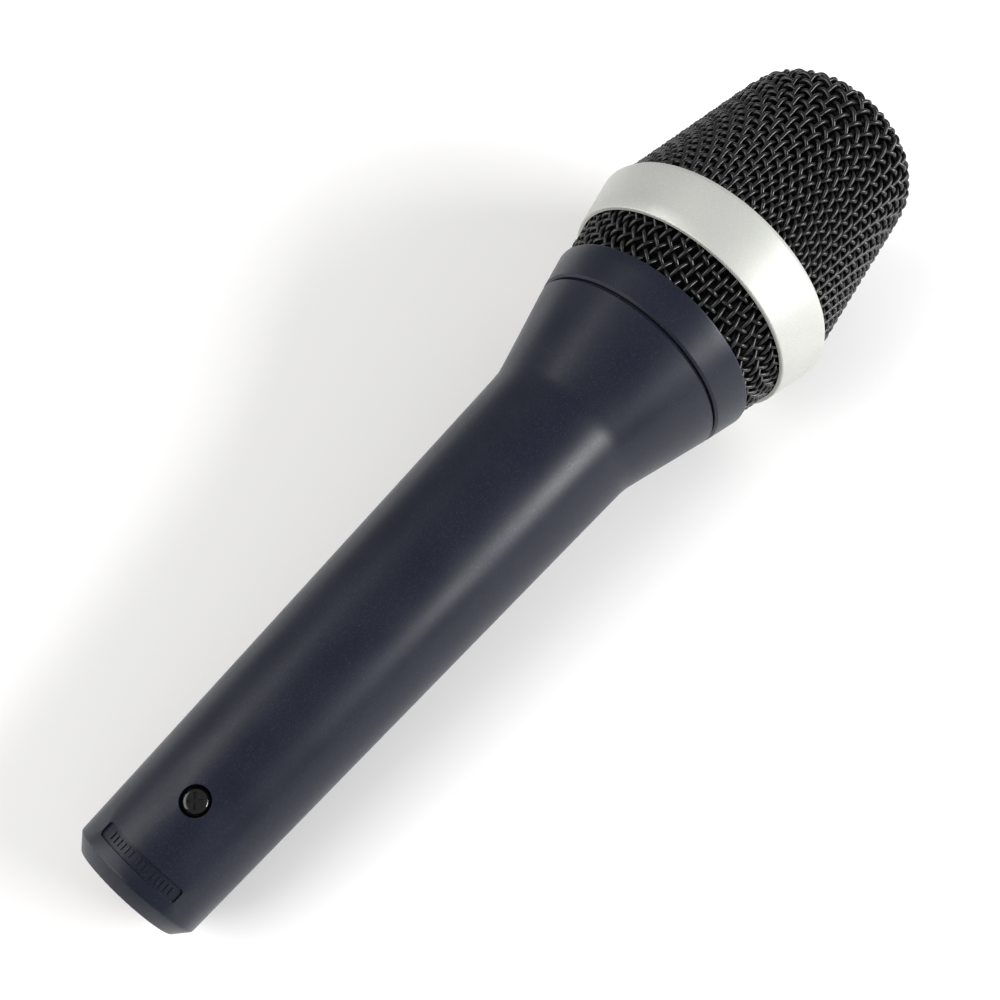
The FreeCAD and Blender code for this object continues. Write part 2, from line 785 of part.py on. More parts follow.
def front_cover():
    """Perforated resonator plate over the diaphragm."""
    cover = turned([
        (cover_x, 0),
        (cover_x, flange_radius),
        (capsule_top_x + face_gap, flange_radius),
        (capsule_top_x + face_gap, capsule_radius),
        (capsule_top_x + cover_rim, capsule_radius, cover_rim / 2),
        (capsule_top_x + cover_rim, flange_radius - cover_rim_width),
        (capsule_top_x, flange_radius - cover_lip),
        (capsule_top_x, 0),
    ])
    low = cover_x - overrun
    high = capsule_top_x + overrun
    centre_hole = rod(low, high, cover_hole_radius)
    hole = rod(low, high, cover_hole_radius, 0, flange_radius * cover_hole_share)
    small_hole = rod(low, high, cover_small_hole_radius, 0, flange_radius * cover_small_hole_share)
    holes = [centre_hole, *around(hole, 6), *around(small_hole, 12, 15.0)]
    return tidy(cover.cut(Part.Compound(holes)))


def front_screen():
    """Felt disc on the plate."""
    low = capsule_top_x + face_gap
    return ring(low, low + screen_thickness, 0, flange_radius - screen_margin)


def rear_felt():
    """Felt ring over the rear ports."""
    low = capsule_x + capsule_wall + face_gap
    inner = stem_radius - stem_wall + felt_bore_margin
    return ring(low, low + felt_thickness, inner, capsule_radius - capsule_wall - felt_play)


def terminal_board():
    """Round board in the capsule's stem, slotted for its two lugs."""
    board = ring(board_x, board_x + board_thickness, 0, stem_radius - stem_wall - slide_clearance)
    width = lug_width + 2 * lug_play
    height = lug_thickness + 2 * lug_play
    for side in (1, -1):
        corner = Vector(board_x - overrun, side * lug_offset - width / 2, -height / 2)
        board = board.cut(Part.makeBox(board_thickness + 2 * overrun, width, height, corner))
    return tidy(board)


def terminal_lugs():
    """Two solder lugs through the board."""
    lugs = []
    head_x = board_x + board_thickness + face_gap
    for side in (1, -1):
        blade_corner = Vector(board_x - lug_tail, side * lug_offset - lug_width / 2, -lug_thickness / 2)
        blade = Part.makeBox(head_x - board_x + lug_tail, lug_width, lug_thickness, blade_corner)
        head_corner = Vector(head_x, side * lug_offset - lug_head_width / 2, -lug_head_height / 2)
        head = Part.makeBox(lug_thickness, lug_head_width, lug_head_height, head_corner)
        lugs.append(tidy(blade.fuse(head).removeSplitter()))
    return lugs


# ---- leads ---------------------------------------------------------------------------
def lead(points):
    """Insulated lead along points, with tangent arcs as large as the runs beside them allow."""
    cuts = [0.0]
    for i in range(1, len(points) - 1):
        shorter = min((points[i] - points[i - 1]).Length, (points[i + 1] - points[i]).Length)
        cuts.append(lead_bend_share * shorter)
    cuts.append(0.0)
    path = Part.Wire(rounded_edges(points, cuts, False))
    start = unit(points[1] - points[0])
    section = Part.Wire(Part.makeCircle(lead_diameter / 2, points[0], start))
    return tidy(path.makePipeShell([section], True, False))


def lead_route(side, pin_name):
    """Way of one lead from its lug, through the carrier and the foam, to its contact's cup."""
    y, z = pin_place(pin_angles[pin_name])
    lug_end = board_x - lug_tail - face_gap
    return [
        Vector(lug_end, side * lug_offset, 0),
        Vector(lug_end - 4.0, side * lug_offset, 0.2),
        Vector((lug_end + cavity_end_x) / 2, side * (lug_offset + 0.8), 1.2),
        Vector(cavity_end_x - 2.0, side * (lug_offset - 0.8), -0.4),
        Vector(foam_top_x - 2.0, side * 1.6, 0.6),
        Vector((foam_top_x + foam_low_x) / 2, side * 1.4, -0.5),
        Vector(foam_low_x + 2.0, side * 1.3, 0.4),
        Vector((foam_low_x + cup_end_x) / 2 + 4.0, side * 2.2, z / 2 + 1.2),
        Vector(cup_end_x + 6.0, y + side * 0.3, z - 0.3),
        Vector(cup_end_x - cup_depth + 0.4, y, z),
    ]


# ---- head ----------------------------------------------------------------------------
collar_bore = thread_core_radius + thread_height + thread_clearance


def flare_radius(x):
    return line_at(x, (neck_x, neck_radius), (seam_x, seam_radius))


def head_collar():
    """Painted collar: female thread below, seat for the mesh on top."""
    seat_outer = lower_mesh_radius(collar_top_x - mesh_tuck) + slide_clearance
    seat_inner = seat_outer - mesh_thickness - 2 * slide_clearance - collar_land
    seat_floor = collar_top_x - mesh_tuck - slide_clearance
    body = turned([
        (collar_x, collar_bore),
        (collar_x, flare_radius(collar_x) - edge_break),
        (collar_x + edge_break, flare_radius(collar_x + edge_break)),
        (collar_top_x, collar_top_radius, collar_top_round),
        (collar_top_x, lower_mesh_radius(collar_top_x) + slide_clearance),
        (seat_floor, seat_outer),
        (seat_floor, seat_inner),
        (collar_top_x, seat_inner),
        (collar_top_x, collar_bore),
    ])
    start = seam_x + thread_start + thread_pitch / 2
    return tidy(body.fuse(thread_ridge(collar_bore, False, start, thread_turns - 0.25)))


def lower_mesh():
    """Woven wire band between collar and silver band."""
    low = collar_top_x - mesh_tuck
    high = seam_ring_x - slide_clearance
    return turned([
        (low, lower_mesh_radius(low) - mesh_thickness),
        (low, lower_mesh_radius(low)),
        (high, lower_mesh_radius(high)),
        (high, lower_mesh_radius(high) - mesh_thickness),
    ])


def seam_ring():
    """Inner ring that the two meshes butt on, under the silver band."""
    gap = band_wall * 1.05 + 2 * slide_clearance
    inner = lower_mesh_radius(seam_ring_x) - mesh_thickness
    return turned([
        (seam_ring_x, inner),
        (seam_ring_x, band_radius(seam_ring_x) - gap),
        (seam_ring_top_x, band_radius(seam_ring_top_x) - gap),
        (seam_ring_top_x, inner),
    ])


def grille_band():
    """Silver band round the widest part of the head."""
    thickness = band_wall * 1.02
    return turned([
        (band_x, band_bottom_radius - thickness),
        (band_x, band_bottom_radius, band_lower_round),
        (band_top_x - band_bevel, band_top_radius, band_round),
        (band_top_x, band_edge_radius),
        (band_top_x, band_radius(band_top_x - band_bevel) - thickness),
        (band_top_x - band_bevel, band_radius(band_top_x - band_bevel) - thickness),
    ])


def upper_mesh():
    """Woven wire basket over the capsule."""
    foot_x = seam_ring_top_x + slide_clearance
    outer = Vector(foot_x, 0, under_band_radius(foot_x, 0))
    inner = Vector(foot_x, 0, under_band_radius(foot_x, mesh_thickness))
    return dome_shell(0, mesh_thickness, outer, inner)


def foam_liner():
    """Open-cell foam inside both meshes."""
    outside = mesh_thickness + soft_clearance
    foot_x = seam_ring_top_x + liner_step
    passage = lower_mesh_radius(seam_ring_x) - mesh_thickness - soft_clearance
    low_x = collar_top_x + liner_setback
    low_outer = lower_mesh_radius(low_x) - outside
    outer = Vector(foot_x, 0, passage)
    inner = Vector(foot_x, 0, passage - liner_thickness)
    below = [Vector(low_x, 0, low_outer - liner_thickness), Vector(low_x, 0, low_outer)]
    return dome_shell(outside, liner_inner, outer, inner, below)


# ---- rest pose and export ----------------------------------------------------------------
def round_centre(before, corner, after, radius):
    """Centre of the arc that rounds a corner of an (x, radius) outline."""
    point = Vector(corner[0], 0, corner[1])
    back = unit(Vector(before[0], 0, before[1]) - point)
    ahead = unit(Vector(after[0], 0, after[1]) - point)
    half = back.getAngle(ahead) / 2
    return point + unit(back + ahead) * (radius / math.sin(half))


def lay_down(shape):
    """Roll, tilt the head up, stand the two round rims on z = 0 and centre the length on x = 0."""
    tail = round_centre(
        (0, tail_radius - tail_chamfer_depth),
        (tail_chamfer_length, tail_radius),
        (neck_x, neck_radius),
        tail_round,
    )
    head = round_centre(
        (band_x, band_bottom_radius),
        (band_top_x - band_bevel, band_top_radius),
        (band_top_x, band_edge_radius),
        band_round,
    )
    between = head - tail
    tilt = math.atan2(between.z, between.x) - math.asin((tail_round - band_round) / between.Length)
    height = tail_round + tail.z * math.cos(tilt) - tail.x * math.sin(tilt)
    back = -(tail_radius - tail_chamfer_depth) * math.sin(tilt)
    front = (crown_x - crown_arc) * math.cos(tilt) + crown_arc
    placed = turn_about_axis(shape, rest_roll)
    placed.rotate(origin, Vector(0, 1, 0), -math.degrees(tilt))
    placed.translate(Vector(-(front + back) / 2, 0, height))
    return placed


def main():
    nodes = {
        "handle_body": handle_body(),
        "connector_insert": connector_insert(),
        "ground_spring": ground_spring(),
        "connector_screw": connector_screw(),
        "seam_gasket": seam_gasket(),
        "foam_plug": foam_plug(),
        "capsule_carrier": capsule_carrier(),
        "suspension_cage": suspension_cage(),
        "rear_rubber": rear_rubber(),
        "front_rubber": front_rubber(),
        "lead_hot": lead(lead_route(-1, "contact_pin_2")),
        "lead_cold": lead(lead_route(1, "contact_pin_3")),
        "capsule_housing": capsule_housing(),
        "magnet_yoke": magnet_yoke(),
        "magnet": ring(magnet_x, pole_x, 0, magnet_radius),
        "pole_piece": ring(pole_x, gap_x, 0, pole_radius),
        "diaphragm_ring": diaphragm_ring(),
        "front_cover": front_cover(),
        "front_screen": front_screen(),
        "rear_felt": rear_felt(),
        "terminal_board": terminal_board(),
        "terminal_lugs": Part.Compound(terminal_lugs()),
        "diaphragm": diaphragm(),
        "voice_coil": voice_coil(),
        "foam_liner": foam_liner(),
        "head_collar": head_collar(),
        "lower_mesh": lower_mesh(),
        "seam_ring": seam_ring(),
        "grille_band": grille_band(),
        "upper_mesh": upper_mesh(),
    }
    for name, angle in pin_angles.items():
        nodes[name] = contact_pin(angle)
    os.makedirs("parts", exist_ok=True)
    for name, shape in nodes.items():
        lay_down(shape).exportStep("parts/" + name + ".step")
        print(name, "solids", len(shape.Solids), "valid", shape.isValid(), "volume", round(shape.Volume, 1))


main()
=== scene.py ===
import json
import math
import bmesh
import bpy
import numpy as np
from mathutils import Matrix, Vector


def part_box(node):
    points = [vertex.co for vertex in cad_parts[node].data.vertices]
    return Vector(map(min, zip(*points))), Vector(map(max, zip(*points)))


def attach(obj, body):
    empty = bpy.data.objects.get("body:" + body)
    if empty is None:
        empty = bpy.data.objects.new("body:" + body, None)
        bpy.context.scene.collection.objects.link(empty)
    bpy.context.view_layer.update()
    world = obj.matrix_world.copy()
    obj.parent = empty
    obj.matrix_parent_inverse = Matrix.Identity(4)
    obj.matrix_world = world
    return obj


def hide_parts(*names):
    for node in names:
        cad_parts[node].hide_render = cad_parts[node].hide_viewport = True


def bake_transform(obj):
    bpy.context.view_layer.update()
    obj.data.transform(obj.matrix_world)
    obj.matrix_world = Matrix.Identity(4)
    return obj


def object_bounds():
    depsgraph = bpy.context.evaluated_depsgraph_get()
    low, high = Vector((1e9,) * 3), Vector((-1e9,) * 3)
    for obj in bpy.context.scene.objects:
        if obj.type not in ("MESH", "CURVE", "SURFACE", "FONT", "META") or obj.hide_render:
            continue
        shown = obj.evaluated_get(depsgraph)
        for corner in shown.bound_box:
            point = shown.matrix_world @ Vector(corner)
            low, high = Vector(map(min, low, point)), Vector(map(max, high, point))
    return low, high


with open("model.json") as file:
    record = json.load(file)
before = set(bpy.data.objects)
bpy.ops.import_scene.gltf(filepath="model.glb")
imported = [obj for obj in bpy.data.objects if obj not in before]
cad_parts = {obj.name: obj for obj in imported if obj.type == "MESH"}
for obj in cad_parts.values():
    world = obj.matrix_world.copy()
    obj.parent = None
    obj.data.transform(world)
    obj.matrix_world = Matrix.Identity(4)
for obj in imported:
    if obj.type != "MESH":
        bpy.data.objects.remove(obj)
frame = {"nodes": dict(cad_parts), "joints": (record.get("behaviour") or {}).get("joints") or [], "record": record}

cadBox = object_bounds()
nodes = frame["nodes"]
scene = bpy.context.scene
mm = 0.001

# the microphone's own axes: along from the tail to the grille, up through the connector screw
headTurn = next(j for j in frame["joints"] if j["name"] == "head_turn")
socketMount = next(m for m in frame["record"]["mounts"] if m["name"] == "xlr_socket")
alongMic = Vector(headTurn["axis"]).normalized()
tailPoint = Vector(socketMount["pos_m"])
screwBox = [Vector(corner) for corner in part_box("connector_screw")]
screwWay = (screwBox[0] + screwBox[1]) / 2 - tailPoint
upMic = (screwWay - alongMic * screwWay.dot(alongMic)).normalized()
sideMic = upMic.cross(alongMic)
micTurn = Matrix((alongMic, sideMic, upMic)).transposed()
micArray = np.array(micTurn)
tailArray = np.array(tailPoint)
print("stage: frame loaded")


def toRow(points):
    return points @ micArray.T + tailArray


def toMic(points):
    return (points - tailArray) @ micArray


def vertexArray(obj):
    flat = np.empty(len(obj.data.vertices) * 3)
    obj.data.vertices.foreach_get("co", flat)
    return flat.reshape(-1, 3)


def outline(name):
    # distinct (along, radius) pairs of a turned node, sorted along the axis
    local = toMic(vertexArray(nodes[name]))
    pairs = np.column_stack([local[:, 0], np.hypot(local[:, 1], local[:, 2])])
    return np.unique(np.round(pairs, 6), axis=0)


def outerLine(name):
    # upper convex hull of the outline: the outside of a turned shell
    hull = []
    for point in outline(name):
        while hull and abs(hull[-1][0] - point[0]) < 1e-7 and hull[-1][1] <= point[1]:
            hull.pop()
        while len(hull) > 1:
            a, b = hull[-2], hull[-1]
            if (b[0] - a[0]) * (point[1] - a[1]) - (b[1] - a[1]) * (point[0] - a[0]) < 0:
                break
            hull.pop()
        hull.append(point)
    return np.array(hull)


def link(obj):
    scene.collection.objects.link(obj)
    return obj


def meshPiece(name, points, faces=(), edges=()):
    mesh = bpy.data.meshes.new(name)
    corners = [tuple(p) for p in points]
    mesh.from_pydata(corners, [tuple(e) for e in edges], [tuple(f) for f in faces])
    mesh.update()
    return link(bpy.data.objects.new(name, mesh))


def pointVectors(obj, name, vectors):
    made = obj.data.attributes.new(name, "FLOAT_VECTOR", "POINT")
    made.data.foreach_set("vector", vectors.ravel())


def pointValues(obj, name, values):
    obj.data.attributes.new(name, "FLOAT", "POINT").data.foreach_set("value", values)


def smooth(obj):
    obj.data.polygons.foreach_set("use_smooth", [True] * len(obj.data.polygons))


# node graphs: a socket that does arithmetic, and one method for every other node
class Socket:
    def __init__(self, graph, out):
        self.graph = graph
        self.out = out

    def maths(self, operation, *others):
        terms = {0: self, **dict(enumerate(others, 1))}
        return self.graph.add("ShaderNodeMath", {"operation": operation}, terms)

    def __add__(self, other):
        return self.maths("ADD", other)

    def __radd__(self, other):
        return self.maths("ADD", other)

    def __sub__(self, other):
        return self.maths("SUBTRACT", other)

    def __rsub__(self, other):
        return self.graph.add("ShaderNodeMath", {"operation": "SUBTRACT"}, {0: other, 1: self})

    def __mul__(self, other):
        return self.maths("MULTIPLY", other)

    def __rmul__(self, other):
        return self.maths("MULTIPLY", other)

    def __pow__(self, other):
        return self.maths("POWER", other)

    def sine(self):
        return self.maths("SINE")


class Graph:
    def __init__(self, tree):
        self.tree = tree

    def node(self, kind, settings=None, inputs=None):
        made = self.tree.nodes.new(kind)
        for key, value in (settings or {}).items():
            setattr(made, key, value)
        for key, value in (inputs or {}).items():
            self.give(made.inputs[key], value)
        return made

    def give(self, socket, value):
        if isinstance(value, Socket):
            self.tree.links.new(value.out, socket)
        else:
            socket.default_value = value

    def add(self, kind, settings=None, inputs=None, output=0):
        return Socket(self, self.node(kind, settings, inputs).outputs[output])

    def mixColour(self, factor, first, second):
        # the colour inputs and output of a Mix node share names with its number ones, so they go by place
        ends = [tone if isinstance(tone, Socket) else (*tone, 1.0) for tone in (first, second)]
        return self.add(
            "ShaderNodeMix", {"data_type": "RGBA"}, {0: factor, 6: ends[0], 7: ends[1]}, output=2)

    def noise(self, vector, scale, detail=2.0, roughness=0.5):
        return self.add(
            "ShaderNodeTexNoise", None,
            {"Vector": vector, "Scale": scale, "Detail": detail, "Roughness": roughness})

    def cells(self, vector, scale, output="Distance"):
        return self.add("ShaderNodeTexVoronoi", None, {"Vector": vector, "Scale": scale}, output)

    def ramp(self, value, low, high):
        return self.add(
            "ShaderNodeMapRange", {"clamp": True},
            {"Value": value, "From Min": low, "From Max": high})

    def bump(self, height, strength, distance):
        return self.add(
            "ShaderNodeBump", None,
            {"Height": height, "Strength": strength, "Distance": distance})

    def split(self, vector):
        parts = self.node("ShaderNodeSeparateXYZ", None, {"Vector": vector})
        return [Socket(self, parts.outputs[i]) for i in range(3)]

    def attribute(self, name, kind):
        return self.add("GeometryNodeInputNamedAttribute", {"data_type": kind}, {"Name": name})


def makeFinish(name, fixed, paint):
    # a material: constants straight on the shader, what varies from paint(graph, where, micWhere)
    material = bpy.data.materials.new(name)
    material.use_nodes = True
    material.node_tree.nodes.clear()
    graph = Graph(material.node_tree)
    shader = graph.node("ShaderNodeBsdfPrincipled", None, fixed)
    where = graph.add("ShaderNodeTexCoord", None, None, "Object")
    turnBack = micTurn.transposed()
    micWhere = graph.add(
        "ShaderNodeMapping", {"vector_type": "POINT"},
        {"Vector": where, "Rotation": turnBack.to_euler(), "Location": -(turnBack @ tailPoint)})
    for key, value in paint(graph, where, micWhere).items():
        graph.give(shader.inputs[key], value)
    graph.node("ShaderNodeOutputMaterial", None, {"Surface": Socket(graph, shader.outputs[0])})
    return material


# finishes: scales are features per metre, depths of relief are metres
slateLook = {
    "base": (0.0048, 0.0068, 0.0150), "worn": (0.0062, 0.0084, 0.0175), "fleck": (0.055, 0.065, 0.10),
    "fleckScale": 11000.0, "fleckShare": 0.10, "roughness": 0.33, "grain": 0.10,
}
silverLook = {
    "base": (0.47, 0.475, 0.445), "worn": (0.43, 0.435, 0.41), "fleck": (0.68, 0.69, 0.66),
    "fleckScale": 9500.0, "fleckShare": 0.20, "roughness": 0.50, "grain": 0.08,
}
lacquerSkin = {"cloud": 90.0, "orangePeel": 1500.0, "fine": 6500.0, "depth": 0.08 * mm}


def lacquer(look):
    def paint(graph, where, micWhere):
        cellTone = graph.cells(where, look["fleckScale"], output="Color")
        fleckTone = graph.add("ShaderNodeSeparateColor", None, {"Color": cellTone})
        fleck = graph.ramp(fleckTone, 1.0 - look["fleckShare"], 1.0)
        cloud = graph.noise(where, lacquerSkin["cloud"], 3.0)
        ground = graph.mixColour(graph.ramp(cloud, 0.35, 0.7), look["base"], look["worn"])
        orangePeel = graph.noise(where, lacquerSkin["orangePeel"], 2.0)
        fine = graph.noise(where, lacquerSkin["fine"], 2.0)
        skin = graph.bump(orangePeel * 0.6 + fine * 0.4, look["grain"], lacquerSkin["depth"])
        return {
            "Base Color": graph.mixColour(fleck * 0.4, ground, look["fleck"]),
            "Roughness": look["roughness"] + 0.08 * graph.ramp(cloud, 0.3, 0.7) - 0.12 * fleck,
            "Normal": skin,
        }
    return paint


enamelLook = {
    "deep": (0.0022, 0.0022, 0.0026), "light": (0.006, 0.006, 0.007),
    "blotch": 900.0, "drips": 3200.0, "roughness": 0.26, "grain": 0.22, "depth": 0.06 * mm,
}


def enamel(graph, where, micWhere):
    look = enamelLook
    blotch = graph.noise(where, look["blotch"], 3.0)
    drips = graph.noise(where, look["drips"], 2.0)
    return {
        "Base Color": graph.mixColour(graph.ramp(blotch, 0.3, 0.75), look["deep"], look["light"]),
        "Roughness": look["roughness"] + 0.16 * graph.ramp(blotch, 0.3, 0.7),
        "Normal": graph.bump(drips, look["grain"], look["depth"]),
    }


# foam colour: the pore centres are painted darker, painted shade in the pits
foamLook = {
    "pitShade": (0.001, 0.001, 0.001), "rim": (0.006, 0.006, 0.0065),
    "pores": 1500.0, "smallPores": 3600.0, "roughness": 0.85, "grain": 0.9, "depth": 0.5 * mm,
}


def foamSkin(graph, where, micWhere):
    look = foamLook
    pores = graph.cells(where, look["pores"])
    small = graph.cells(where, look["smallPores"])
    return {
        # darker towards each pore centre: painted shade in the pits
        "Base Color": graph.mixColour(graph.ramp(pores, 0.1, 0.6), look["pitShade"], look["rim"]),
        "Roughness": look["roughness"] + 0.1 * small,
        "Normal": graph.bump(pores * 0.7 + small * 0.3, look["grain"], look["depth"]),
    }


feltLook = {
    "deep": (0.008, 0.008, 0.009), "light": (0.04, 0.04, 0.042), "stretch": (1.0, 6.0, 3.0),
    "fibres": 2600.0, "roughness": 0.88, "grain": 0.8, "depth": 0.2 * mm,
}


def feltSkin(graph, where, micWhere):
    look = feltLook
    stretched = graph.add("ShaderNodeMapping", None, {"Vector": where, "Scale": look["stretch"]})
    fibres = graph.noise(stretched, look["fibres"], 5.0, 0.7)
    return {
        "Base Color": graph.mixColour(graph.ramp(fibres, 0.35, 0.7), look["deep"], look["light"]),
        "Roughness": look["roughness"] + 0.08 * fibres,
        "Normal": graph.bump(fibres, look["grain"], look["depth"]),
    }


nylonLook = {
    "dark": (0.014, 0.014, 0.015), "light": (0.026, 0.026, 0.028),
    "cloud": 260.0, "spark": 4200.0, "roughness": 0.46, "grain": 0.25, "depth": 0.06 * mm,
}


def nylonSkin(graph, where, micWhere):
    look = nylonLook
    spark = graph.noise(where, look["spark"], 3.0)
    cloud = graph.noise(where, look["cloud"], 2.0)
    return {
        "Base Color": graph.mixColour(graph.ramp(cloud, 0.3, 0.7), look["dark"], look["light"]),
        "Roughness": look["roughness"] + 0.14 * cloud,
        "Normal": graph.bump(spark, look["grain"], look["depth"]),
    }


rubberLook = {
    "clean": (0.010, 0.010, 0.010), "dusty": (0.030, 0.030, 0.029),
    "dust": 700.0, "fine": 5200.0, "roughness": 0.68, "grain": 0.3, "depth": 0.05 * mm,
}


def rubberSkin(graph, where, micWhere):
    look = rubberLook
    dust = graph.noise(where, look["dust"], 5.0, 0.65)
    fine = graph.noise(where, look["fine"], 2.0)
    return {
        "Base Color": graph.mixColour(graph.ramp(dust, 0.5, 0.8), look["clean"], look["dusty"]),
        "Roughness": look["roughness"] + 0.16 * dust,
        "Normal": graph.bump(fine, look["grain"], look["depth"]),
    }


# bare metals: bright and dull tones, lowest roughness, tool lines per metre
metalSkin = {"mottle": 1300.0, "grain": 0.12, "depth": 0.04 * mm}
metalLooks = {
    "black_screw": {"bright": (0.010, 0.009, 0.009), "dull": (0.022, 0.020, 0.019), "low": 0.08, "lines": 14000.0},
    "contact_metal": {"bright": (0.78, 0.72, 0.58), "dull": (0.62, 0.55, 0.42), "low": 0.24, "lines": 9000.0},
    "plated_steel": {"bright": (0.60, 0.60, 0.57), "dull": (0.46, 0.46, 0.44), "low": 0.24, "lines": 9000.0},
    "magnet_alloy": {"bright": (0.34, 0.34, 0.35), "dull": (0.24, 0.24, 0.25), "low": 0.38, "lines": 9000.0},
    "grey_shell": {"bright": (0.30, 0.31, 0.32), "dull": (0.22, 0.23, 0.24), "low": 0.4, "lines": 9000.0},
}


def turnedMetal(look):
    # fine tool lines follow the distance from the microphone's axis and the way along it
    def paint(graph, where, micWhere):
        along, side, up = graph.split(micWhere)
        radius = (side * side + up * up) ** 0.5
        rings = ((radius + along) * look["lines"]).sine()
        mottle = graph.noise(where, metalSkin["mottle"], 4.0, 0.6)
        return {
            "Base Color": graph.mixColour(graph.ramp(mottle, 0.35, 0.75), look["bright"], look["dull"]),
            "Roughness": look["low"] + 0.16 * mottle,
            "Normal": graph.bump(rings * 0.4 + mottle * 0.6, metalSkin["grain"], metalSkin["depth"]),
        }
    return paint


# winding colour: darker in the gaps between turns and lighter on their crowns, painted shade and painted light
# across each turn
windingLook = {
    "gap": (0.16, 0.05, 0.02), "crown": (0.62, 0.27, 0.12),
    "turns": 52000.0, "tarnish": 2400.0, "roughness": 0.28, "grain": 0.8, "depth": 0.06 * mm,
}


def winding(graph, where, micWhere):
    look = windingLook
    along = graph.split(micWhere)[0]
    turns = (along * look["turns"]).sine()
    return {
        # painted shade in the gaps, painted light on the crowns
        "Base Color": graph.mixColour(graph.ramp(turns, -1.0, 1.0), look["gap"], look["crown"]),
        "Roughness": look["roughness"] + 0.12 * graph.noise(where, look["tarnish"]),
        "Normal": graph.bump(turns, look["grain"], look["depth"]),
    }


filmLook = {
    "warm": (0.72, 0.68, 0.55), "clear": (0.84, 0.82, 0.74),
    "haze": 800.0, "roughness": 0.12, "grain": 0.1, "depth": 0.05 * mm,
}


def filmSkin(graph, where, micWhere):
    look = filmLook
    haze = graph.noise(where, look["haze"], 3.0)
    return {
        "Base Color": graph.mixColour(haze, look["warm"], look["clear"]),
        "Roughness": look["roughness"] + 0.12 * haze,
        "Normal": graph.bump(haze, look["grain"], look["depth"]),
    }


boardLook = {
    "dark": (0.26, 0.12, 0.04), "light": (0.42, 0.22, 0.09),
    "paper": 1800.0, "roughness": 0.42, "grain": 0.2, "depth": 0.05 * mm,
}


def boardSkin(graph, where, micWhere):
    look = boardLook
    paper = graph.noise(where, look["paper"], 4.0, 0.6)
    return {
        "Base Color": graph.mixColour(graph.ramp(paper, 0.3, 0.7), look["dark"], look["light"]),
        "Roughness": look["roughness"] + 0.18 * paper,
        "Normal": graph.bump(paper, look["grain"], look["depth"]),
    }


redLook = {"dark": (0.36, 0.015, 0.012), "light": (0.52, 0.035, 0.025)}
blueLook = {"dark": (0.02, 0.06, 0.30), "light": (0.04, 0.12, 0.44)}
insulationSkin = {"streak": 1500.0, "roughness": 0.36, "grain": 0.2, "depth": 0.04 * mm}


def insulation(look):
    def paint(graph, where, micWhere):
        streak = graph.noise(where, insulationSkin["streak"], 3.0)
        return {
            "Base Color": graph.mixColour(graph.ramp(streak, 0.3, 0.7), look["dark"], look["light"]),
            "Roughness": insulationSkin["roughness"] + 0.14 * streak,
            "Normal": graph.bump(streak, insulationSkin["grain"], insulationSkin["depth"]),
        }
    return paint


# slot: material name, constants on the shader, what varies over the surface
finishTable = {
    "slate_paint": (
        "slatePaint", {"Specular IOR Level": 0.27, "Coat Weight": 0.03, "Coat Roughness": 0.25},
        lacquer(slateLook)),
    "silver_paint": (
        "silverPaint", {"Metallic": 0.4, "Coat Weight": 0.1, "Coat Roughness": 0.4},
        lacquer(silverLook)),
    "black_wire": (
        "blackWire", {"Specular IOR Level": 0.36, "Coat Weight": 0.2, "Coat Roughness": 0.14}, enamel),
    "black_screw": (
        "blackScrew", {"Metallic": 0.75, "Coat Weight": 0.5, "Coat Roughness": 0.1},
        turnedMetal(metalLooks["black_screw"])),
    "contact_metal": ("contactMetal", {"Metallic": 1.0}, turnedMetal(metalLooks["contact_metal"])),
    "plated_steel": ("platedSteel", {"Metallic": 1.0}, turnedMetal(metalLooks["plated_steel"])),
    "magnet_alloy": ("magnetAlloy", {"Metallic": 0.9}, turnedMetal(metalLooks["magnet_alloy"])),
    "grey_shell": ("greyShell", {"Metallic": 0.85}, turnedMetal(metalLooks["grey_shell"])),
    "copper_wire": ("copperWire", {"Metallic": 0.8, "Coat Weight": 0.6}, winding),
    "clear_film": ("clearFilm", {"Alpha": 0.55, "IOR": 1.5}, filmSkin),
    "black_nylon": ("blackNylon", {}, nylonSkin),
    "black_rubber": ("blackRubber", {}, rubberSkin),
    "black_foam": ("blackFoam", {"Specular IOR Level": 0.15}, foamSkin),
    "black_felt": ("blackFelt", {"Specular IOR Level": 0.2}, feltSkin),
    "board": ("paperBoard", {}, boardSkin),
    "red_lead": ("redLead", {}, insulation(redLook)),
    "blue_lead": ("blueLead", {}, insulation(blueLook)),
}
finishes = {slot: makeFinish(*recipe) for slot, recipe in finishTable.items()}
slotOf = {part["node"]: part["material_slot"] for part in frame["record"]["subparts"]}
print("stage: finishes", len(finishes))

# CAD pieces that stay: welded for shading, smooth over their round faces
shadeLook = {"weld": 0.002 * mm, "hardAngle": 32}
for name, obj in nodes.items():
    obj.data.materials.clear()
    obj.data.materials.append(finishes[slotOf[name]])
    smooth(obj)
    weld = obj.modifiers.new("weld", "WELD")
    weld.merge_threshold = shadeLook["weld"]
    split = obj.modifiers.new("hardEdges", "EDGE_SPLIT")
    split.split_angle = math.radians(shadeLook["hardAngle"])
print("stage: CAD pieces", len(nodes))


# Geometry Nodes: a tree takes a mesh, its own named inputs and a finish, and gives back real faces
def openTree(name, sizes):
    tree = bpy.data.node_groups.new(name, "GeometryNodeTree")
    wanted = {"Geometry": "NodeSocketGeometry", **sizes, "Finish": "NodeSocketMaterial"}
    for label, kind in wanted.items():
        tree.interface.new_socket(label, in_out="INPUT", socket_type=kind)
    tree.interface.new_socket("Geometry", in_out="OUTPUT", socket_type="NodeSocketGeometry")
    graph = Graph(tree)
    given = graph.node("NodeGroupInput")
    return graph, [Socket(graph, given.outputs[i]) for i in range(len(wanted))]


def closeTree(graph, shape, finish):
    real = graph.add("GeometryNodeRealizeInstances", None, {"Geometry": shape})
    done = graph.add("GeometryNodeSetMaterial", None, {"Geometry": real, "Material": finish})
    graph.node("NodeGroupOutput", None, {0: done})
    return graph.tree


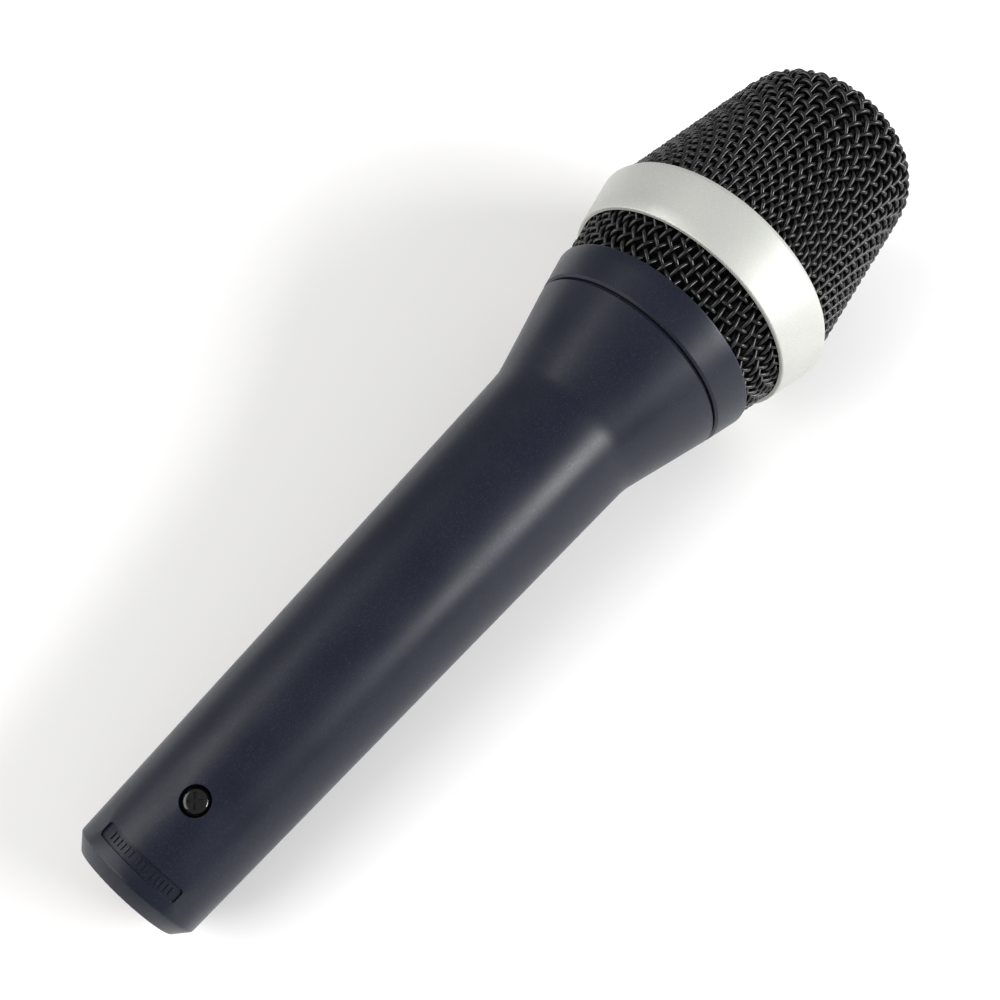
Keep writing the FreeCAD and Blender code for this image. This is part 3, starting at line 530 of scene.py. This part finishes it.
def runTree(obj, tree, values):
    # set the inputs by identifier, evaluate once, keep the result as a plain mesh
    modifier = obj.modifiers.new("make", "NODES")
    modifier.node_group = tree
    for item in tree.interface.items_tree:
        if item.item_type == "SOCKET" and item.in_out == "INPUT" and item.name in values:
            modifier[item.identifier] = values[item.name]
    bpy.context.view_layer.update()
    evaluated = obj.evaluated_get(bpy.context.evaluated_depsgraph_get())
    result = bpy.data.meshes.new_from_object(evaluated)
    result.name = obj.name
    obj.modifiers.clear()
    obj.data = result
    return obj


# woven wire
weaveLook = {
    "samples": 5,              # points of a wire between two crossings
    "sides": 7,
    "push": 0.02 * mm,         # how far a whole wire sits off its place
    "wander": 0.10 * mm,       # how far the forming has pushed the wires about
    "waves": (310, 120),       # how fast that changes along a wire and from wire to wire
    "lineStep": 0.2 * mm,
    "seed": 11,
}
upperWeave = {"wire": 0.80 * mm, "spacing": 2.50 * mm, "bias": -28.0, "start": 0.0}
lowerWeave = {"wire": 0.72 * mm, "spacing": 2.40 * mm, "bias": 14.0, "start": 26.0 * mm}


def wireTree():
    # edges with an outward direction and a lift become wires that pass over and under
    sizes = {"Wire Diameter": "NodeSocketFloat", "Sides": "NodeSocketInt"}
    graph, (start, diameter, sides, finish) = openTree("wovenWire", sizes)
    radius = diameter * 0.5
    lift = graph.attribute("lift", "FLOAT")
    outward = graph.attribute("outward", "FLOAT_VECTOR")
    offset = graph.add("ShaderNodeVectorMath", {"operation": "SCALE"}, {0: outward, "Scale": lift * radius})
    path = graph.add("GeometryNodeMeshToCurve", None, {"Mesh": start})
    wave = graph.add("GeometryNodeSetPosition", None, {"Geometry": path, "Offset": offset})
    ring = graph.add("GeometryNodeCurvePrimitiveCircle", None, {"Resolution": sides, "Radius": radius})
    wires = graph.add(
        "GeometryNodeCurveToMesh", None, {"Curve": wave, "Profile Curve": ring, "Fill Caps": True})
    shaded = graph.add("GeometryNodeSetShadeSmooth", None, {"Geometry": wires})
    return closeTree(graph, shaded, finish)


def squareTo(line):
    # unit directions square to the line at each of its points
    slope = np.gradient(line, axis=0)
    slope /= np.linalg.norm(slope, axis=1)[:, None]
    return np.column_stack([slope[:, 1], -slope[:, 0]])


def insetLine(line, depth):
    # line runs along the axis; its inside is towards the axis
    inward = squareTo(line)
    inward[inward[:, 1] > 0] *= -1
    return line + inward * depth


def wayAlong(line):
    return np.concatenate([[0], np.cumsum(np.linalg.norm(np.diff(line, axis=0), axis=1))])


def resample(line, step):
    way = wayAlong(line)
    marks = np.linspace(0, way[-1], max(2, int(way[-1] / step)))
    return np.column_stack([np.interp(marks, way, line[:, i]) for i in range(2)])


def weave(name, line, look, body, node):
    # the cloth is flat and square; forming keeps each point's bearing and its way along the outline
    spacing = look["spacing"]
    lineStep = weaveLook["lineStep"]
    line = resample(insetLine(resample(line, lineStep), look["wire"]), lineStep)
    way = wayAlong(line)
    normal = squareTo(line)
    normal[(normal * (line - [line[:, 0].min(), 0])).sum(axis=1) < 0] *= -1
    reach = look["start"] + way[-1]
    rng = np.random.default_rng(weaveLook["seed"])
    step = spacing / weaveLook["samples"]
    count = int(reach / spacing) + 1
    alongWave, acrossWave = weaveLook["waves"]
    pieces = []
    for family, label in enumerate(("Warp", "Weft")):
        points, outs, lifts, edges = [], [], [], []
        for index in range(-count, count + 1):
            across = index * spacing
            limit = math.sqrt(max(0.0, reach ** 2 - across ** 2))
            along = np.arange(-int(limit / step), int(limit / step) + 1) * step
            push = rng.normal(0, weaveLook["push"])
            u = across + push + weaveLook["wander"] * np.sin(along * alongWave + across * acrossWave)
            flat = np.column_stack([u, along] if family == 0 else [along, u])
            rho = np.hypot(flat[:, 0], flat[:, 1])
            bearing = np.arctan2(flat[:, 1], flat[:, 0]) + math.radians(look["bias"])
            inside = (rho >= look["start"]) & (rho <= reach)
            place = rho - look["start"]
            x, r = (np.interp(place, way, line[:, i]) for i in range(2))
            nx, nr = (np.interp(place, way, normal[:, i]) for i in range(2))
            local = np.column_stack([x, r * np.cos(bearing), r * np.sin(bearing)])
            outward = np.column_stack([nx, nr * np.cos(bearing), nr * np.sin(bearing)])
            lift = np.cos(math.pi * (along / spacing + index + family))
            for k in np.flatnonzero(inside):
                points.append(local[k])
                outs.append(outward[k])
                lifts.append(lift[k])
                if k and inside[k - 1]:
                    edges.append((len(points) - 2, len(points) - 1))
        obj = meshPiece(name + label, toRow(np.array(points)), edges=edges)
        pointVectors(obj, "outward", np.array(outs) @ micArray.T)
        pointValues(obj, "lift", np.array(lifts))
        runTree(obj, wireMaker, {
            "Wire Diameter": look["wire"], "Sides": weaveLook["sides"], "Finish": finishes["black_wire"]})
        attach(obj, body)
        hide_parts(node)
        pieces.append(obj)
    return pieces


wireMaker = wireTree()
basketLine = outerLine("upper_mesh")[::-1]   # from the crown down to the silver band
wovenUpper = weave("basketWire", basketLine, upperWeave, "head", "upper_mesh")
lowerLine = outerLine("lower_mesh")
wovenLower = weave("lowerWire", lowerLine, lowerWeave, "head", "lower_mesh")
print("stage: woven wire", sum(len(o.data.polygons) for o in wovenUpper + wovenLower), "faces")

# plain raised bars in the marking panel
ribLook = {
    "groups": (5, 3, 6), "pitch": 4.4, "gap": 3.6,   # degrees between bars, and more between groups
    "station": 5.35 * mm, "radius": 11.25 * mm, "bar": (1.25 * mm, 0.42 * mm, 0.30 * mm),
}


def ribTree():
    # a bar stands on every point, turned to the point's outward direction and the way along the grip
    sizes = {"Bar": "NodeSocketVector", "Along": "NodeSocketVector"}
    graph, (points, bar, alongWay, finish) = openTree("markingRibs", sizes)
    outward = graph.attribute("outward", "FLOAT_VECTOR")
    upright = graph.add("FunctionNodeAlignRotationToVector", {"axis": "Z"}, {"Vector": outward})
    turned = graph.add(
        "FunctionNodeAlignRotationToVector", {"axis": "X", "pivot_axis": "Z"},
        {"Rotation": upright, "Vector": alongWay})
    block = graph.add("GeometryNodeMeshCube", None, {"Size": bar})
    stood = graph.add(
        "GeometryNodeInstanceOnPoints", None, {"Points": points, "Instance": block, "Rotation": turned})
    return closeTree(graph, stood, finish)


ribAngles = []
ribAt = 0.0
for size in ribLook["groups"]:
    ribAngles += [ribAt + ribLook["pitch"] * i for i in range(size)]
    ribAt = ribAngles[-1] + ribLook["pitch"] + ribLook["gap"]
ribAngles = np.radians(np.array(ribAngles) - ribAngles[-1] / 2)
ribOut = np.column_stack([np.zeros(len(ribAngles)), np.sin(ribAngles), np.cos(ribAngles)])
ribs = meshPiece("markingRibs", toRow(ribOut * ribLook["radius"] + [ribLook["station"], 0, 0]))
pointVectors(ribs, "outward", ribOut @ micArray.T)
runTree(ribs, ribTree(), {"Bar": ribLook["bar"], "Along": alongMic, "Finish": finishes["slate_paint"]})
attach(ribs, "handle")
print("stage: marking bars", len(ribAngles))

# foam and felt: grain is the length of an edge, depth is how far the skin is pushed in
softLook = {
    "foam_liner": {
        "name": "foamLining", "body": "liner", "slot": "black_foam", "grain": 0.8 * mm, "depth": 0.18 * mm},
    "foam_plug": {
        "name": "gripFoam", "body": "handle", "slot": "black_foam", "grain": 0.9 * mm, "depth": 0.20 * mm},
    "rear_felt": {
        "name": "rearFeltDisc", "body": "capsule", "slot": "black_felt", "grain": 0.5 * mm, "depth": 0.02 * mm},
    "front_screen": {
        "name": "frontFeltDisc", "body": "capsule", "slot": "black_felt", "grain": 0.4 * mm, "depth": 0.02 * mm},
}
softWork = {"rounds": 5, "longest": 1.6, "seed": 5}


def softCopy(node, look):
    # a welded copy with even faces whose skin is pushed in and out like cut foam
    obj = link(bpy.data.objects.new(look["name"], nodes[node].data.copy()))
    mesh = bmesh.new()
    mesh.from_mesh(obj.data)
    bmesh.ops.remove_doubles(mesh, verts=mesh.verts, dist=shadeLook["weld"])
    longest = look["grain"] * softWork["longest"]
    for _ in range(softWork["rounds"]):
        longEdges = [e for e in mesh.edges if e.calc_length() > longest]
        if not longEdges:
            break
        bmesh.ops.subdivide_edges(mesh, edges=longEdges, cuts=1)
        bmesh.ops.triangulate(mesh, faces=[f for f in mesh.faces if len(f.verts) > 3])
    mesh.normal_update()
    rng = np.random.default_rng(softWork["seed"])
    for vertex in mesh.verts:
        vertex.co -= vertex.normal * look["depth"] * rng.random()
    mesh.to_mesh(obj.data)
    mesh.free()
    smooth(obj)
    obj.data.materials.clear()
    obj.data.materials.append(finishes[look["slot"]])
    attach(obj, look["body"])
    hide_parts(node)
    return obj


softPieces = [softCopy(node, look) for node, look in softLook.items()]
print("stage: foam and felt", sum(len(o.data.polygons) for o in softPieces), "faces")

# leads: smooth copies of the CAD leads, baked where they stand
leadLook = {
    "pieces": {"lead_hot": "leadHot", "lead_cold": "leadCold"},
    "bendFrom": 114.0 * mm, "bendTo": 131.0 * mm,
}
for node, name in leadLook["pieces"].items():
    lead = link(bpy.data.objects.new(name, nodes[node].data.copy()))
    smooth(lead)
    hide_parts(node)
    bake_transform(lead)
print("stage: leads", len(leadLook["pieces"]))

# floor, light and camera
stageLook = {"tone": (0.90, 0.89, 0.885), "patch": (0.91, 0.905, 0.90), "cloud": 6.0, "size": 4.0}
half = stageLook["size"] / 2
floor = meshPiece(
    "studioFloor", [(-half, -half, 0), (half, -half, 0), (half, half, 0), (-half, half, 0)], [(0, 1, 2, 3)])


def floorSkin(graph, where, micWhere):
    cloud = graph.noise(where, stageLook["cloud"], 2.0)
    return {
        "Base Color": graph.mixColour(cloud, stageLook["tone"], stageLook["patch"]),
        "Roughness": 0.6 + 0.1 * cloud,
    }


floor.data.materials.append(makeFinish("paleFloor", {"Specular IOR Level": 0.2}, floorSkin))

lampLooks = {
    "skyPanel": {
        "place": (-0.75, 0.65, 0.75), "size": (1.2, 1.2), "power": 16.5, "tint": (1.0, 0.985, 0.97)},
    "sideStrip": {
        "place": (0.27, -0.52, 0.32), "size": (0.5, 0.18), "power": 5.8, "tint": (1.0, 1.0, 1.0)},
}
boxCentre = (cadBox[0] + cadBox[1]) / 2
for name, look in lampLooks.items():
    lamp = bpy.data.lights.new(name, "AREA")
    lamp.shape = "RECTANGLE"
    lamp.size, lamp.size_y = look["size"]
    lamp.energy = look["power"]
    lamp.color = look["tint"]
    holder = link(bpy.data.objects.new(name, lamp))
    holder.location = look["place"]
    holder.rotation_euler = (holder.location - boxCentre).to_track_quat("Z", "Y").to_euler()

airLook = {"tint": (0.96, 0.98, 1.0, 1.0), "strength": 0.42}
world = bpy.data.worlds.new("studioAir")
scene.world = world
world.use_nodes = True
air = world.node_tree.nodes["Background"]
air.inputs["Color"].default_value = airLook["tint"]
air.inputs["Strength"].default_value = airLook["strength"]

cameraLook = {
    "place": (-0.08448, -0.0688, 0.2051), "azimuth": -48.5, "elevation": 60.93,
    "lens": 44.65, "sensor": 36.0, "nearest": 5 * mm,
}
azimuth, elevation = math.radians(cameraLook["azimuth"]), math.radians(cameraLook["elevation"])
back = Vector((
    math.sin(azimuth) * math.cos(elevation), -math.cos(azimuth) * math.cos(elevation), math.sin(elevation)))
camera = bpy.data.cameras.new("studioCamera")
camera.lens = cameraLook["lens"]
camera.sensor_width = cameraLook["sensor"]
camera.clip_start = cameraLook["nearest"]
cameraHolder = link(bpy.data.objects.new("studioCamera", camera))
cameraHolder.location = cameraLook["place"]
cameraHolder.rotation_euler = back.to_track_quat("Z", "Y").to_euler()
scene.camera = cameraHolder
scene.view_settings.view_transform = "Standard"
print("stage: floor, light and camera")
